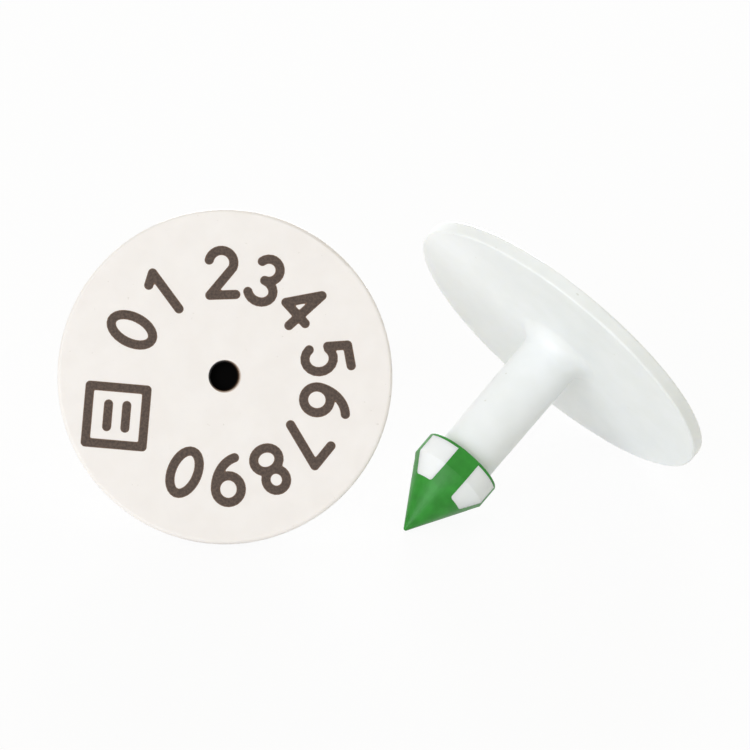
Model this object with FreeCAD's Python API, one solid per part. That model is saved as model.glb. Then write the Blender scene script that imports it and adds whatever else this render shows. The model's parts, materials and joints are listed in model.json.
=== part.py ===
"""Two-piece button ear tag for cattle, shown open: female button, locking cup, male button, tip.

The female button is one soft moulding: a flat printed disc, and behind it a tapered socket. A
funnel in the socket's end leads past a narrow lip into a hard, dark cup that is moulded in. The
small hole in the middle of the disc is left by the pin that holds the cup in the mould, and shows
the cup's closed end. The male button is one soft moulding too: a flat disc, a hollow stem on a
rounded root, and a core that fills the windows of the hard tip. To close the tag, a steel
applicator pin goes up the hollow stem and drives the tip through the ear and the lip. The tip's
square shoulder then holds behind the lip, and its point stops on the floor of the cup.

Each half is drawn upright on its own axis and then laid down as it comes to rest on a table: the
female button on its disc's edge and its socket's end, the male button on its disc's edge and its
point. Millimetres, +Z up. The origin is on the table, in the middle of the two halves' box.
"""

import FreeCAD, Part
import math
import os

from FreeCAD import Vector

# ---- Hard tip: a straight collar, a cone and four windows between the arms of a cross
head_radius = 3.65
collar_length = 2.05
cone_length = 6.2  # from the collar to where the cone would come to a sharp point
point_round = 0.2
collar_round = 0.12
window_rim = 0.27  # band left between the shoulder and the windows
window_length = 3.5
window_round = 0.2
arm_width = 2.25
core_radius = 2.05  # where the arms end, inside the tip
core_nose_length = 1.2

# ---- Male button: disc, stem and pin bore
male_disc_radius = 15.1
male_disc_thickness = 1.3
male_edge_round = 0.2
stem_length = 13.1  # from the disc's ear side to the tip's shoulder
stem_root_radius = 2.7
stem_end_radius = 2.6
stem_root_round = 1.5
pin_bore_radius = 1.4
pin_bore_mouth_round = 0.25
pin_bore_end_wall = 0.45  # core left over the end of the bore

# ---- Locking cup: closed end, cone and straight wall
cup_floor_radius = 0.2
cup_end_wall = 0.8
cup_side_wall = 0.8
cup_end_radius = 2.4  # outside, at the closed end
cup_round = 0.3
head_clearance = 0.3  # round the tip's collar
head_end_play = 0.5  # how far the caught tip can slide along the axis

# ---- Female button: disc, hole, lip, funnel and socket
female_disc_radius = 14.35
female_disc_thickness = 1.7
female_edge_round = 0.3
face_hole_radius = 1.25
face_hole_mouth_round = 0.15
cup_cover = 1.1  # how deep the cup's closed end lies behind the disc's face
lip_clearance = 0.15  # round the stem, in the lip
lip_length = 1.8
lip_round = 0.25
funnel_length = 3.3
funnel_slope_deg = 34.0
socket_end_radius = 6.5
socket_taper = 1.0  # how much more its radius is at the disc
socket_root_round = 1.2
socket_end_round = 0.5

# ---- Where the two halves lie on the table
male_heading_deg = 225.0  # which way its point lies, seen from above, counter-clockwise from +X
male_spin_deg = 48.5  # turn about its own axis
female_heading_deg = 90.0  # which way its socket lies
male_from_female_x = 28.5  # between the middles of the two discs
male_from_female_y = 11.1

# ---- Sizes that follow from those above
AXIS = Vector(0, 0, 1)
ORIGIN = Vector(0, 0, 0)
shoulder_z = stem_length
cone_z = shoulder_z + collar_length
sharp_point_z = cone_z + cone_length
cone_half_angle = math.atan2(head_radius, cone_length)
point_centre_z = sharp_point_z - point_round / math.sin(cone_half_angle)
point_z = point_centre_z + point_round
window_start_z = shoulder_z + window_rim
window_end_z = window_start_z + window_length
core_nose_z = window_end_z + core_nose_length
pin_bore_end_z = window_end_z - pin_bore_end_wall

lip_radius = stem_root_radius + lip_clearance
cup_radius = head_radius + head_clearance
cup_outer_radius = cup_radius + cup_side_wall
cup_floor_z = cup_cover + cup_end_wall
cup_cone_end_z = cup_floor_z + (cup_radius - cup_floor_radius) / math.tan(cone_half_angle)
head_length = point_z - shoulder_z
lip_z = cup_floor_z + head_length + head_end_play
funnel_z = lip_z + lip_length
socket_end_z = funnel_z + funnel_length
funnel_radius = lip_radius + funnel_length * math.tan(math.radians(funnel_slope_deg))


def rounded_outline(corners):
    """A closed outline in the XZ half-plane. Each corner is (radius, height, rounding)."""
    points = [Vector(r, 0, z) for r, z, _ in corners]
    count = len(points)
    starts, ends, arcs = [], [], []
    for i, point in enumerate(points):
        rounding = corners[i][2]
        back = (points[i - 1] - point).normalize()
        ahead = (points[(i + 1) % count] - point).normalize()
        half = back.getAngle(ahead) / 2
        setback = rounding / math.tan(half)
        start = point + back * setback
        end = point + ahead * setback
        if rounding > 0:
            middle_way = (back + ahead).normalize()
            middle = point + middle_way * (rounding / math.sin(half) - rounding)
            arcs.append(Part.Arc(start, middle, end).toShape())
        else:
            arcs.append(None)
        starts.append(start)
        ends.append(end)
    edges = []
    for i in range(count):
        if arcs[i]:
            edges.append(arcs[i])
        after = (i + 1) % count
        if ends[i].distanceToPoint(starts[after]) > 1e-6:
            edges.append(Part.LineSegment(ends[i], starts[after]).toShape())
    return Part.Wire(edges)


def turned(corners):
    """The solid that the outline sweeps in one turn about the axis."""
    return Part.Face(rounded_outline(corners)).revolve(ORIGIN, AXIS, 360)


def head_form():
    """The tip's outside: shoulder, collar, cone and rounded point, with nothing cut out."""
    point_touch_radius = point_round * math.cos(cone_half_angle)
    point_touch_z = point_centre_z + point_round * math.sin(cone_half_angle)
    shoulder_start = Vector(head_radius - collar_round, 0, shoulder_z)
    collar_start = Vector(head_radius, 0, shoulder_z + collar_round)
    across = collar_round * (1 - math.sqrt(0.5))
    collar_middle = Vector(head_radius - across, 0, shoulder_z + across)
    cone_start = Vector(head_radius, 0, cone_z)
    cone_end = Vector(point_touch_radius, 0, point_touch_z)
    half_way = (math.pi / 2 + cone_half_angle) / 2
    point_middle = Vector(point_round * math.cos(half_way), 0, point_centre_z + point_round * math.sin(half_way))
    top = Vector(0, 0, point_z)
    foot = Vector(0, 0, shoulder_z)
    outline = Part.Wire(
        [
            Part.LineSegment(foot, shoulder_start).toShape(),
            Part.Arc(shoulder_start, collar_middle, collar_start).toShape(),
            Part.LineSegment(collar_start, cone_start).toShape(),
            Part.LineSegment(cone_start, cone_end).toShape(),
            Part.Arc(cone_end, point_middle, top).toShape(),
            Part.LineSegment(top, foot).toShape(),
        ]
    )
    return Part.Face(outline).revolve(ORIGIN, AXIS, 360)


def window_cutter():
    """One window: the quarter between two arms of the cross, with its two far corners rounded."""
    near = arm_width / 2
    reach = head_radius + 1
    block = Part.makeBox(reach, reach, window_length, Vector(near, near, window_start_z))

    def along_an_arm(edge):
        a, b = (v.Point for v in edge.Vertexes)
        at_far_end = min(a.z, b.z) > window_end_z - 1e-6
        return at_far_end and (max(a.x, b.x) < near + 1e-6 or max(a.y, b.y) < near + 1e-6)

    return block.makeFillet(window_round, [e for e in block.Edges if along_an_arm(e)])


def filled_space():
    """What the male moulding fills inside the tip: ring bore, core, core nose and four windows."""
    ring_bore = Part.makeCylinder(stem_end_radius, window_rim, Vector(0, 0, shoulder_z))
    core = Part.makeCylinder(core_radius, window_end_z - shoulder_z, Vector(0, 0, shoulder_z))
    nose = Part.makeCone(core_radius, pin_bore_radius / 2, core_nose_length, Vector(0, 0, window_end_z))
    windows = []
    for quarter in range(4):
        window = window_cutter()
        window.rotate(ORIGIN, AXIS, 90 * quarter)
        windows.append(window)
    return ring_bore.multiFuse([core, nose] + windows).removeSplitter()


def piercing_tip():
    """The hard tip: a ring, a cross of four arms and a solid point."""
    return head_form().cut(filled_space())


def male_button():
    """Disc, stem and the core that fills the tip, with the applicator pin's bore up the middle."""
    disc_and_stem = turned(
        [
            (0, -male_disc_thickness, 0),
            (male_disc_radius, -male_disc_thickness, male_edge_round),
            (male_disc_radius, 0, male_edge_round),
            (stem_root_radius, 0, stem_root_round),
            (stem_end_radius, shoulder_z, 0),
            (0, shoulder_z, 0),
        ]
    )
    core = head_form().common(filled_space())
    pin_bore = turned(
        [
            (0, -male_disc_thickness - 1, 0),
            (pin_bore_radius + 1 + pin_bore_mouth_round, -male_disc_thickness - 1, 0),
            (pin_bore_radius + 1 + pin_bore_mouth_round, -male_disc_thickness, 0),
            (pin_bore_radius, -male_disc_thickness, pin_bore_mouth_round),
            (pin_bore_radius, pin_bore_end_z, 0),
            (0, pin_bore_end_z, 0),
        ]
    )
    return disc_and_stem.fuse(core).cut(pin_bore).removeSplitter()


def cup_outside():
    """The cup's outside, from its open rim to its closed end, as corners for an outline."""
    return [
        (cup_outer_radius, lip_z, 0),
        (cup_outer_radius, cup_cone_end_z, cup_round),
        (cup_end_radius, cup_cover, cup_round),
    ]


def locking_cup():
    """A hard cup with a thick closed end. Inside, its cone has the slope of the tip's."""
    inside = [
        (0, cup_cover, 0),
        (0, cup_floor_z, 0),
        (cup_floor_radius, cup_floor_z, 0),
        (cup_radius, cup_cone_end_z, 0),
        (cup_radius, lip_z, 0),
    ]
    return turned(cup_outside() + inside)


def female_button():
    """Disc, face hole, seat of the cup, lip, funnel and tapered socket, turned in one piece."""
    face_and_socket = [
        (face_hole_radius, cup_cover, 0),
        (face_hole_radius, 0, face_hole_mouth_round),
        (female_disc_radius, 0, female_edge_round),
        (female_disc_radius, female_disc_thickness, female_edge_round),
        (socket_end_radius + socket_taper, female_disc_thickness, socket_root_round),
        (socket_end_radius, socket_end_z, socket_end_round),
        (funnel_radius, socket_end_z, socket_end_round),
        (lip_radius, funnel_z, lip_round),
        (lip_radius, lip_z, lip_round),
    ]
    return turned(cup_outside() + face_and_socket)


def lean(low_edge, high_edge):
    """How far the axis dips, in degrees, when a turned shape lies on two of its round edges.

    Each edge is (radius, height, rounding) of its rounding's centre, the widest edge first."""
    run = high_edge[1] - low_edge[1]
    drop = low_edge[0] - high_edge[0]
    apart = math.hypot(run, drop)
    return math.degrees(math.atan2(drop, run) + math.asin((low_edge[2] - high_edge[2]) / apart))


def male_lean():
    disc_edge = (male_disc_radius - male_edge_round, -male_edge_round, male_edge_round)
    point = (0, point_centre_z, point_round)
    return lean(disc_edge, point)


def female_lean():
    disc_edge = (
        female_disc_radius - female_edge_round,
        female_disc_thickness - female_edge_round,
        female_edge_round,
    )
    socket_end = (socket_end_radius - socket_end_round, socket_end_z - socket_end_round, socket_end_round)
    return lean(disc_edge, socket_end)


def lie_down(shapes, spin_deg, lean_deg, heading_deg):
    """Turns shapes drawn on the axis so that the axis dips by the lean and points along the heading."""
    for shape in shapes:
        shape.rotate(ORIGIN, AXIS, spin_deg)
        shape.rotate(ORIGIN, Vector(0, 1, 0), 90 + lean_deg)
        shape.rotate(ORIGIN, AXIS, heading_deg)


def box_of(shapes):
    box = shapes[0].optimalBoundingBox(False, False)
    for shape in shapes[1:]:
        box.add(shape.optimalBoundingBox(False, False))
    return box


def set_on_table(shapes, x, y):
    """Moves shapes so that their axis's own origin is over (x, y) and the lowest of them is at height 0."""
    move = Vector(x, y, -box_of(shapes).ZMin)
    for shape in shapes:
        shape.translate(move)
    return move


def laid_out():
    """All pieces in place, by node name, and where each half's own origin went."""
    pieces = {
        "male_button": male_button(),
        "piercing_tip": piercing_tip(),
        "female_button": female_button(),
        "locking_cup": locking_cup(),
    }
    male_half = [pieces["male_button"], pieces["piercing_tip"]]
    female_half = [pieces["female_button"], pieces["locking_cup"]]
    lie_down(male_half, male_spin_deg, male_lean(), male_heading_deg)
    lie_down(female_half, 0, female_lean(), female_heading_deg)
    male_place = set_on_table(male_half, male_from_female_x, male_from_female_y)
    female_place = set_on_table(female_half, 0, 0)
    box = box_of(list(pieces.values()))
    to_middle = Vector(-box.Center.x, -box.Center.y, 0)
    for shape in pieces.values():
        shape.translate(to_middle)
    return pieces, male_place + to_middle, female_place + to_middle


def main():
    os.makedirs("parts", exist_ok=True)
    pieces, male_place, female_place = laid_out()
    for name, shape in pieces.items():
        shape.exportStep(os.path.join("parts", name + ".step"))
        print(name, "volume", round(shape.Volume, 2), "valid", shape.isValid(), "solids", len(shape.Solids))
    print("male lean", round(male_lean(), 3), "female lean", round(female_lean(), 3))
    print("male origin", male_place, "female origin", female_place)


if __name__ == "__main__":
    main()
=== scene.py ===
import json
import math
import bpy
from mathutils import Matrix, Vector


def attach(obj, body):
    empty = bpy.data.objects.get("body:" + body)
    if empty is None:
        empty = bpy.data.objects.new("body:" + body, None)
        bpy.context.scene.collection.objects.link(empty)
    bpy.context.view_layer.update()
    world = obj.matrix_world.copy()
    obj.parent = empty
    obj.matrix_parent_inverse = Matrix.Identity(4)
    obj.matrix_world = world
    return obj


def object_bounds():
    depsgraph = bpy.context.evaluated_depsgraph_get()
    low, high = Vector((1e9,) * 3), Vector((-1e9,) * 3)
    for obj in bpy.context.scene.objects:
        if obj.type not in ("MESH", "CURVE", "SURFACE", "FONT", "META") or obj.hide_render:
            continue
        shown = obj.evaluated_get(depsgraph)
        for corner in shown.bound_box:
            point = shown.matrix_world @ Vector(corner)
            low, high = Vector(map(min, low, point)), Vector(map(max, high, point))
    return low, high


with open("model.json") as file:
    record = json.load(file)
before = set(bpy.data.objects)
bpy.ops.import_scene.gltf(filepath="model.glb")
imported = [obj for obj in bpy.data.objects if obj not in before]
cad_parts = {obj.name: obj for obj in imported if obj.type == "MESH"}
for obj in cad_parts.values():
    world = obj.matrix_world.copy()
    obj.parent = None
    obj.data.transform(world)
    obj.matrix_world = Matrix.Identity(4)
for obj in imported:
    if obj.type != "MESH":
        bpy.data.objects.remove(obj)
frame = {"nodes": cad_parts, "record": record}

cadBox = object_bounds()
mounts = {mount["name"]: mount for mount in frame["record"]["mounts"]}
mm = 0.001


def standOn(origin, outward, up):  # a local frame: +Z outward, +Y as near to up as it can be
    zWay = Vector(outward).normalized()
    xWay = Vector(up).cross(zWay).normalized()
    place = Matrix((xWay, zWay.cross(xWay), zWay)).transposed().to_4x4()
    place.translation = origin
    return place


def acrossTo(point, axisPoint, axisWay):  # the spot on an axis that is level with a point
    axisPoint, axisWay = Vector(axisPoint), Vector(axisWay)
    return axisPoint + axisWay * (Vector(point) - axisPoint).dot(axisWay)


faceMount = mounts["female_front_face"]
faceMiddle = acrossTo(faceMount["pos_m"], mounts["socket"]["pos_m"], faceMount["axis"])
facePlace = standOn(faceMiddle, faceMount["axis"], (0, 0, 1))

frontMount = mounts["male_front_face"]
frontMiddle = acrossTo(frontMount["pos_m"], mounts["applicator_bore"]["pos_m"], frontMount["axis"])
stemPlace = standOn(frontMiddle, -Vector(frontMount["axis"]), (0, 0, 1))
print("frame read: face middle", tuple(faceMiddle), "stem foot", tuple(frontMiddle))


camera = {
    "elevation": 27.2,
    "roll": 3.92,
    "distance": 0.6,
    "lens": 332.0,
    "sensor": 36.0,
    "aim": (-0.00075, -0.00115, -0.00224),  # from the middle of the whole box
}


def addCamera(c):
    middle = (cadBox[0] + cadBox[1]) / 2 + Vector(c["aim"])
    rise = math.radians(c["elevation"])
    towards = Vector((0, -math.cos(rise), math.sin(rise)))
    turn = Matrix.Rotation(math.radians(c["roll"]), 3, towards)
    place = standOn(middle + towards * c["distance"], towards, turn @ Vector((0, 0, 1)))
    bpy.ops.object.camera_add()
    cam = bpy.context.object
    cam.name = "camera"
    cam.matrix_world = place
    cam.data.lens = c["lens"]
    cam.data.sensor_width = c["sensor"]
    cam.data.clip_start = 0.01
    cam.data.clip_end = 20
    bpy.context.scene.camera = cam


addCamera(camera)
print("camera set")


def newMaterial(name):
    material = bpy.data.materials.new(name)
    material.use_nodes = True
    nodes = material.node_tree.nodes
    return material, nodes, material.node_tree.links, nodes["Principled BSDF"]


def objectPoint(nodes, links, place=None):  # Object coordinates, in a piece's own axes if a place is given
    point = nodes.new("ShaderNodeTexCoord")
    if place is None:
        return point.outputs["Object"]
    mapping = nodes.new("ShaderNodeMapping")
    mapping.vector_type = "TEXTURE"
    mapping.inputs["Location"].default_value = place.translation
    mapping.inputs["Rotation"].default_value = place.to_euler()
    links.new(point.outputs["Object"], mapping.inputs["Vector"])
    return mapping.outputs["Vector"]


def addNoise(nodes, links, vector, size, detail=2.0, roughness=0.5):  # size is that of one grain, in metres
    noise = nodes.new("ShaderNodeTexNoise")
    noise.inputs["Scale"].default_value = 1 / size
    noise.inputs["Detail"].default_value = detail
    noise.inputs["Roughness"].default_value = roughness
    links.new(vector, noise.inputs["Vector"])
    return noise.outputs["Fac"]


def addRamp(nodes, links, value, stops):  # stops are (position, colour)
    ramp = nodes.new("ShaderNodeValToRGB")
    spots = ramp.color_ramp.elements
    while len(spots) < len(stops):
        spots.new(0.5)
    for spot, (position, colour) in zip(spots, stops):
        spot.position = position
        spot.color = (*colour, 1)
    links.new(value, ramp.inputs["Fac"])
    return ramp.outputs["Color"]


def addRange(nodes, links, value, low, high):  # a 0 to 1 value, stretched to low and high
    span = nodes.new("ShaderNodeMapRange")
    span.inputs["To Min"].default_value = low
    span.inputs["To Max"].default_value = high
    links.new(value, span.inputs["Value"])
    return span.outputs["Result"]


def addMix(nodes, links, factor, first, second):
    mix = nodes.new("ShaderNodeMix")
    mix.data_type = "RGBA"
    links.new(factor, mix.inputs["Factor"])
    for socket, colour in ((mix.inputs["A"], first), (mix.inputs["B"], second)):
        if isinstance(colour, tuple):
            socket.default_value = (*colour, 1)
        else:
            links.new(colour, socket)
    return mix.outputs["Result"]


def addBump(nodes, links, height, depth, strength=1.0, under=None):  # depth in metres
    bump = nodes.new("ShaderNodeBump")
    bump.inputs["Distance"].default_value = depth
    bump.inputs["Strength"].default_value = strength
    links.new(height, bump.inputs["Height"])
    if under is not None:
        links.new(under, bump.inputs["Normal"])
    return bump.outputs["Normal"]


faceHole = {  # the shade in it lies off its middle, because the light comes in from one side
    "radius": 1.43 * mm,
    "offset": (-0.15 * mm, 0.08 * mm, 0),
    "reach": 1.6 * mm,
    "shades": [(0.74, (0.0012, 0.0010, 0.0009)), (0.80, (0.030, 0.018, 0.011)),
               (0.86, (0.270, 0.185, 0.130)), (0.97, (0.720, 0.630, 0.570))],
}


def measureFrom(nodes, links, point, middle, reach):  # 0 on a line through the middle, 1 at the reach
    away = nodes.new("ShaderNodeVectorMath")
    away.operation = "SUBTRACT"
    away.inputs[1].default_value = middle
    links.new(point, away.inputs[0])
    flat = nodes.new("ShaderNodeVectorMath")
    flat.operation = "MULTIPLY"
    flat.inputs[1].default_value = (1 / reach, 1 / reach, 0)
    links.new(away.outputs["Vector"], flat.inputs[0])
    far = nodes.new("ShaderNodeVectorMath")
    far.operation = "LENGTH"
    links.new(flat.outputs["Vector"], far.inputs[0])
    return far.outputs["Value"]


def shadeHole(nodes, links, tint, hole):  # the tint, with painted shade in and round the small hole in the face
    point = objectPoint(nodes, links, facePlace)
    inward = measureFrom(nodes, links, point, hole["offset"], hole["reach"])
    shade = addRamp(nodes, links, inward, hole["shades"])
    outside = measureFrom(nodes, links, point, (0, 0, 0), hole["radius"])
    edge = addRamp(nodes, links, outside, [(0.96, (0, 0, 0)), (1.0, (1, 1, 1))])
    return addMix(nodes, links, edge, shade, tint)


softGrain = {
    "cloud": 2.5 * mm,
    "dust": 0.45 * mm,
    "grain": 0.16 * mm,
    "grainDepth": 0.004 * mm,
    "wave": 4 * mm,
    "waveDepth": 0.06 * mm,
}
femalePlastic = {
    "name": "female plastic",
    "pale": (0.905, 0.865, 0.842),
    "deep": (0.880, 0.838, 0.812),
    "speck": (0.74, 0.70, 0.66),
    "gloss": (0.50, 0.58),
    "through": 0.25,
    "depth": 0.25 * mm,
    "hole": faceHole,
}
malePlastic = {
    "name": "male plastic",
    "pale": (0.872, 0.892, 0.898),
    "deep": (0.846, 0.868, 0.868),
    "speck": (0.74, 0.75, 0.72),
    "gloss": (0.34, 0.44),
    "through": 0.45,
    "depth": 0.9 * mm,
}


def softPlastic(look):
    material, nodes, links, shader = newMaterial(look["name"])
    point = objectPoint(nodes, links)
    cloud = addNoise(nodes, links, point, softGrain["cloud"], 3)
    tint = addRamp(nodes, links, cloud, [(0.35, look["deep"]), (0.65, look["pale"])])
    dust = addNoise(nodes, links, point, softGrain["dust"], 1)
    specks = addRamp(nodes, links, dust, [(0.76, (0, 0, 0)), (0.84, (1, 1, 1))])
    tint = addMix(nodes, links, specks, tint, look["speck"])
    # painted shade, with a painted lit edge, in the small hole of the face
    if "hole" in look:
        tint = shadeHole(nodes, links, tint, look["hole"])
    links.new(tint, shader.inputs["Base Color"])
    links.new(addRange(nodes, links, cloud, *look["gloss"]), shader.inputs["Roughness"])
    grain = addNoise(nodes, links, point, softGrain["grain"], 2, 0.6)
    wave = addNoise(nodes, links, point, softGrain["wave"], 1)
    skin = addBump(nodes, links, wave, softGrain["waveDepth"], 0.5)
    links.new(addBump(nodes, links, grain, softGrain["grainDepth"], 0.8, skin), shader.inputs["Normal"])
    shader.inputs["Subsurface Weight"].default_value = look["through"]
    shader.inputs["Subsurface Radius"].default_value = (1.0, 0.95, 0.85)
    shader.inputs["Subsurface Scale"].default_value = look["depth"]
    shader.inputs["IOR"].default_value = 1.5
    return material


# painted shade: the locking cup is given a near-black colour with almost no shine, standing in for the shade
# deep in the small hole
cupShadePaint = {
    "name": "cup painted shade",
    "dark": (0.0015, 0.0014, 0.0013),
    "pale": (0.004, 0.0036, 0.0032),
    "gloss": 0.6,
    "shine": 0.02,
    "grain": 0.15 * mm,
    "grainDepth": 0.004 * mm,
}


def paintShadeBlack(look):
    material, nodes, links, shader = newMaterial(look["name"])
    point = objectPoint(nodes, links)
    grain = addNoise(nodes, links, point, look["grain"], 2)
    tint = addRamp(nodes, links, grain, [(0.3, look["dark"]), (0.7, look["pale"])])
    # painted shade and a painted lit edge of the hole, as on the face, over the near-black
    links.new(shadeHole(nodes, links, tint, faceHole), shader.inputs["Base Color"])
    links.new(addBump(nodes, links, grain, look["grainDepth"], 0.5), shader.inputs["Normal"])
    shader.inputs["Roughness"].default_value = look["gloss"]
    shader.inputs["Specular IOR Level"].default_value = look["shine"]
    return material


tipPlastic = {
    "name": "tip plastic",
    "deep": (0.012, 0.180, 0.010),
    "fresh": (0.026, 0.275, 0.024),
    "gloss": (0.34, 0.46),
    "shine": 0.36,
    "lines": 0.05,  # of the way round, as seen on a unit circle
    "lineDepth": 0.02 * mm,
    "cloud": 1.2 * mm,
    "grain": 0.12 * mm,
    "grainDepth": 0.003 * mm,
    "through": 0.15,
    "depth": 0.3 * mm,
}


def hardPlastic(look):  # fine lines run down the tip, from the shoulder to the point
    material, nodes, links, shader = newMaterial(look["name"])
    point = objectPoint(nodes, links, stemPlace)
    flat = nodes.new("ShaderNodeVectorMath")
    flat.operation = "MULTIPLY"
    flat.inputs[1].default_value = (1, 1, 0)
    links.new(point, flat.inputs[0])
    around = nodes.new("ShaderNodeVectorMath")
    around.operation = "NORMALIZE"
    links.new(flat.outputs["Vector"], around.inputs[0])
    lines = addNoise(nodes, links, around.outputs["Vector"], look["lines"], 3, 0.6)
    cloud = addNoise(nodes, links, point, look["cloud"], 2)
    tint = addRamp(nodes, links, cloud, [(0.3, look["deep"]), (0.7, look["fresh"])])
    streaks = addRange(nodes, links, lines, 0, 0.5)
    links.new(addMix(nodes, links, streaks, tint, look["fresh"]), shader.inputs["Base Color"])
    links.new(addRange(nodes, links, lines, *look["gloss"]), shader.inputs["Roughness"])
    grain = addNoise(nodes, links, point, look["grain"], 2)
    skin = addBump(nodes, links, lines, look["lineDepth"], 0.6)
    links.new(addBump(nodes, links, grain, look["grainDepth"], 0.5, skin), shader.inputs["Normal"])
    shader.inputs["Subsurface Weight"].default_value = look["through"]
    shader.inputs["Specular IOR Level"].default_value = look["shine"]
    shader.inputs["Subsurface Radius"].default_value = (0.3, 1.0, 0.3)
    shader.inputs["Subsurface Scale"].default_value = look["depth"]
    return material


marking = {
    "name": "burned marking",
    "dark": (0.052, 0.034, 0.025),
    "brown": (0.105, 0.070, 0.052),
    "scorch": (0.30, 0.17, 0.10),
    "edge": 0.018 * mm,  # the scorched edge ends at this height above the face
    "gloss": 0.72,
    "grain": 0.22 * mm,
    "grainDepth": 0.02 * mm,
}


def burnedMark(look):
    material, nodes, links, shader = newMaterial(look["name"])
    point = objectPoint(nodes, links, facePlace)
    grain = addNoise(nodes, links, point, look["grain"], 3, 0.65)
    tint = addRamp(nodes, links, grain, [(0.36, look["dark"]), (0.66, look["brown"])])
    split = nodes.new("ShaderNodeSeparateXYZ")
    links.new(point, split.inputs["Vector"])
    height = nodes.new("ShaderNodeMapRange")
    height.inputs["From Min"].default_value = 0
    height.inputs["From Max"].default_value = look["edge"]
    links.new(split.outputs["Z"], height.inputs["Value"])
    edged = addMix(nodes, links, height.outputs["Result"], look["scorch"], tint)
    links.new(edged, shader.inputs["Base Color"])
    links.new(addBump(nodes, links, grain, look["grainDepth"], 0.7), shader.inputs["Normal"])
    shader.inputs["Roughness"].default_value = look["gloss"]
    return material


femaleSkin = softPlastic(femalePlastic)
maleSkin = softPlastic(malePlastic)
tipSkin = hardPlastic(tipPlastic)
cupSkin = paintShadeBlack(cupShadePaint)
markSkin = burnedMark(marking)
print("materials made")


def dress(thing, material):
    thing.data.materials.clear()
    thing.data.materials.append(material)


skins = {
    "female_button": femaleSkin,
    "locking_cup": cupSkin,
    "male_button": maleSkin,
    "piercing_tip": tipSkin,
}
for nodeName, skin in skins.items():
    for slot in frame["nodes"][nodeName].material_slots:
        slot.material = skin
print("CAD pieces dressed")


def arc(x, y, rx, ry, start, end, steps=14):
    turns = [math.radians(start + (end - start) * i / steps) for i in range(steps + 1)]
    return [(x + rx * math.cos(a), y + ry * math.sin(a)) for a in turns]


digitStrokes = {  # each run is straight or smooth, and turns a corner by starting a new one
    "0": [arc(0, 0, 0.29, 0.5, 90, 450, 28)],
    "1": [[(-0.16, 0.33), (0.07, 0.5)], [(0.07, 0.5), (0.07, -0.5)]],
    "2": [arc(0, 0.22, 0.28, 0.28, 165, -25) + [(-0.28, -0.5)], [(-0.28, -0.5), (0.3, -0.5)]],
    "3": [arc(-0.02, 0.25, 0.25, 0.25, 150, -90), arc(-0.02, -0.25, 0.29, 0.25, 90, -150)],
    "4": [[(0.12, -0.5), (0.12, 0.5)], [(0.12, 0.5), (-0.31, -0.2)], [(-0.31, -0.2), (0.33, -0.2)]],
    "5": [[(0.27, 0.5), (-0.2, 0.5)], [(-0.2, 0.5), (-0.25, 0.06)], arc(-0.01, -0.18, 0.29, 0.32, 130, -145)],
    "6": [arc(0, -0.2, 0.29, 0.3, 180, 540, 24), arc(0.3, -0.2, 0.59, 0.72, 180, 104)],
    "7": [[(-0.28, 0.5), (0.29, 0.5)], [(0.29, 0.5), (-0.08, -0.5)]],
    "8": [arc(0, 0.26, 0.23, 0.24, 90, 450, 22), arc(0, -0.24, 0.29, 0.26, 90, 450, 24)],
    "9": [arc(0, 0.2, 0.29, 0.3, 0, 360, 24), arc(-0.3, 0.2, 0.59, 0.72, 0, -76)],
}


def drawStroke(points, pen):  # one vertex pulled along the points, thickened, with a ball at each end
    bpy.ops.object.select_all(action="DESELECT")
    bpy.ops.mesh.primitive_plane_add(size=0.01, location=(*points[0], 0))
    stroke = bpy.context.object
    bpy.ops.object.mode_set(mode="EDIT")
    bpy.ops.mesh.merge(type="CENTER")
    for here, there in zip(points, points[1:]):
        step = (there[0] - here[0], there[1] - here[1], 0)
        bpy.ops.mesh.extrude_region_move(TRANSFORM_OT_translate={"value": step})
    bpy.ops.object.mode_set(mode="OBJECT")
    bpy.ops.object.convert(target="CURVE")
    stroke = bpy.context.object
    stroke.data.bevel_depth = pen
    stroke.data.bevel_resolution = 5
    stroke.data.use_fill_caps = True
    bpy.ops.object.convert(target="MESH")
    pieces = [bpy.context.object]
    for end in (points[0], points[-1]):
        bpy.ops.mesh.primitive_ico_sphere_add(subdivisions=3, radius=pen, location=(*end, 0))
        pieces.append(bpy.context.object)
    return pieces


def joinAll(pieces):
    bpy.ops.object.select_all(action="DESELECT")
    for piece in pieces:
        piece.select_set(True)
    bpy.context.view_layer.objects.active = pieces[0]
    bpy.ops.object.join()
    return bpy.context.object


def drawMark(strokes, pen, voxel):  # the strokes melted into one, with the lower half cut off
    pieces = []
    for points in strokes:
        pieces += drawStroke(points, pen)
    mark = joinAll(pieces)
    bpy.ops.object.transform_apply(location=True, rotation=True, scale=True)
    melt = mark.modifiers.new("melt", "REMESH")
    melt.mode = "VOXEL"
    melt.voxel_size = voxel
    bpy.ops.object.modifier_apply(modifier=melt.name)
    ease = mark.modifiers.new("ease", "SMOOTH")
    ease.factor = 0.5
    ease.iterations = 4
    bpy.ops.object.modifier_apply(modifier=ease.name)
    bpy.ops.object.mode_set(mode="EDIT")
    bpy.ops.mesh.select_all(action="SELECT")
    bpy.ops.mesh.bisect(plane_co=(0, 0, -pen / 4), plane_no=(0, 0, 1), use_fill=True, clear_inner=True)
    bpy.ops.object.mode_set(mode="OBJECT")
    bpy.ops.object.shade_smooth()
    return mark


def layOn(mark, place, height, rise, pen):  # sizes the mark, flattens it to its rise and fixes it in place
    mark.matrix_world = place @ Matrix.Diagonal((height, height, rise / pen, 1))
    bpy.ops.object.select_all(action="DESELECT")
    mark.select_set(True)
    bpy.context.view_layer.objects.active = mark
    bpy.ops.object.transform_apply(location=True, rotation=True, scale=True)


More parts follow.
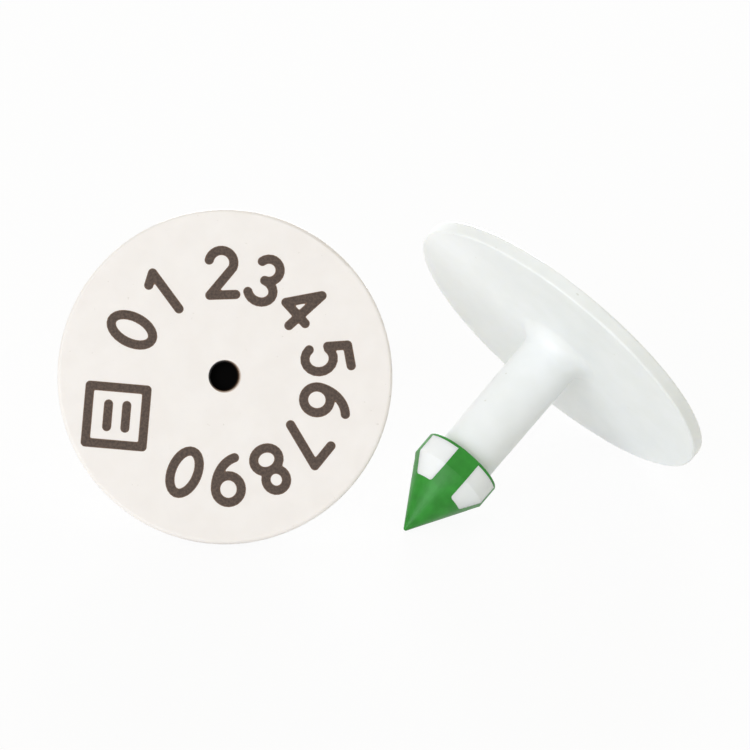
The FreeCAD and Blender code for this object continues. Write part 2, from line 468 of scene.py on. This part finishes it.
digitRing = {
    "groups": (("01", -67.3, 27.0), ("234", -5.7, 24.8), ("567890", 75.8, 24.6)),  # first turn and step
    "radius": 8.9 * mm,
    "height": 3.82 * mm,  # between the middles of the top and bottom strokes
    "stroke": 0.82 * mm,
    "rise": 0.03 * mm,
    "voxel": 0.014,
}


def addDigitRing(d):
    pen = d["stroke"] / 2 / d["height"]
    digits = []
    for text, first, step in d["groups"]:
        for i, digit in enumerate(text):
            mark = drawMark(digitStrokes[digit], pen, d["voxel"])
            turn = Matrix.Rotation(-math.radians(first + step * i), 4, "Z")
            place = facePlace @ turn @ Matrix.Translation((0, d["radius"], 0))
            layOn(mark, place, d["height"], d["rise"], pen)
            digits.append(mark)
    ring = joinAll(digits)
    ring.name = "ring_digits"
    dress(ring, markSkin)
    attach(ring, "root")
    return ring


ringDigits = addDigitRing(digitRing)
print("ring of digits:", len(ringDigits.data.polygons), "faces")


plateMark = {
    "angle": 246.0,
    "turn": 25.0,
    "radius": 9.9 * mm,
    "height": 4.9 * mm,
    "stroke": 0.8 * mm,
    "rise": 0.03 * mm,
    "voxel": 0.014,
}


def addPlateMark(d):  # a plain rounded square with two bars in it
    pen = d["stroke"] / 2 / d["height"]
    corners = [(-0.5, -0.5), (-0.5, 0.5), (0.5, 0.5), (0.5, -0.5)]
    sides = [[corner, corners[(i + 1) % 4]] for i, corner in enumerate(corners)]
    bars = [[(-0.2, 0.15), (0.2, 0.15)], [(-0.2, -0.17), (0.2, -0.17)]]
    mark = drawMark(sides + bars, pen, d["voxel"])
    turn = Matrix.Rotation(-math.radians(d["angle"]), 4, "Z")
    spin = Matrix.Rotation(-math.radians(d["turn"]), 4, "Z")
    place = facePlace @ turn @ Matrix.Translation((0, d["radius"], 0)) @ spin
    layOn(mark, place, d["height"], d["rise"], pen)
    mark.name = "plate_mark"
    dress(mark, markSkin)
    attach(mark, "root")
    return mark


addPlateMark(plateMark)
print("plain mark made")


studio = {
    "floorSize": 6.0,
    "floorColour": (0.86, 0.86, 0.85),
    "floorLift": 0.93,  # how much of the floor's white the camera sees unshaded
    "sky": 0.56,
    "skyColour": (1.0, 0.98, 0.86),
    "lamps": (  # name, watts, width, place and colour
        ("key", 5.2, 0.8, (-0.46, -0.82, 0.34), (0.96, 0.99, 1.08)),
        ("behind", 14.0, 0.5, (0.0, 0.99, 0.14), (0.97, 0.99, 1.06)),
    ),
}


def seenDirectly(nodes, links):  # 1 for what the camera sees, straight or in gloss or glass
    path = nodes.new("ShaderNodeLightPath")
    most = path.outputs["Is Camera Ray"]
    for name in ("Is Glossy Ray", "Is Transmission Ray"):
        larger = nodes.new("ShaderNodeMath")
        larger.operation = "MAXIMUM"
        links.new(most, larger.inputs[0])
        links.new(path.outputs[name], larger.inputs[1])
        most = larger.outputs["Value"]
    return most


def addFloor(s):
    bpy.ops.object.select_all(action="DESELECT")
    bpy.ops.mesh.primitive_plane_add(size=s["floorSize"])
    floor = bpy.context.object
    floor.name = "floor"
    material, nodes, links, shader = newMaterial("floor")
    shader.inputs["Base Color"].default_value = (*s["floorColour"], 1)
    shader.inputs["Roughness"].default_value = 0.9
    shader.inputs["Specular IOR Level"].default_value = 0
    glow = nodes.new("ShaderNodeEmission")
    glow.inputs["Color"].default_value = (1, 1, 1, 1)
    share = nodes.new("ShaderNodeMath")
    share.operation = "MULTIPLY"
    share.inputs[1].default_value = s["floorLift"]
    links.new(seenDirectly(nodes, links), share.inputs[0])
    blend = nodes.new("ShaderNodeMixShader")
    links.new(share.outputs["Value"], blend.inputs["Fac"])
    links.new(shader.outputs["BSDF"], blend.inputs[1])
    links.new(glow.outputs["Emission"], blend.inputs[2])
    links.new(blend.outputs["Shader"], nodes["Material Output"].inputs["Surface"])
    dress(floor, material)


def addSky(s):
    world = bpy.data.worlds.new("sky")
    bpy.context.scene.world = world
    world.use_nodes = True
    nodes, links = world.node_tree.nodes, world.node_tree.links
    light = nodes["Background"]
    light.inputs["Color"].default_value = (*s["skyColour"], 1)
    light.inputs["Strength"].default_value = s["sky"]
    white = nodes.new("ShaderNodeBackground")
    white.inputs["Color"].default_value = (1, 1, 1, 1)
    blend = nodes.new("ShaderNodeMixShader")
    links.new(seenDirectly(nodes, links), blend.inputs["Fac"])
    links.new(light.outputs["Background"], blend.inputs[1])
    links.new(white.outputs["Background"], blend.inputs[2])
    links.new(blend.outputs["Shader"], nodes["World Output"].inputs["Surface"])


def addLamps(s):
    for name, watts, width, place, colour in s["lamps"]:
        bpy.ops.object.light_add(type="AREA")
        lamp = bpy.context.object
        lamp.name = name
        lamp.data.shape = "DISK"
        lamp.data.size = width
        lamp.data.energy = watts
        lamp.data.color = colour
        lamp.matrix_world = standOn(Vector(place), Vector(place), (0, 0, 1))


addFloor(studio)
addSky(studio)
addLamps(studio)
bpy.context.scene.view_settings.view_transform = "Standard"
print("studio set")
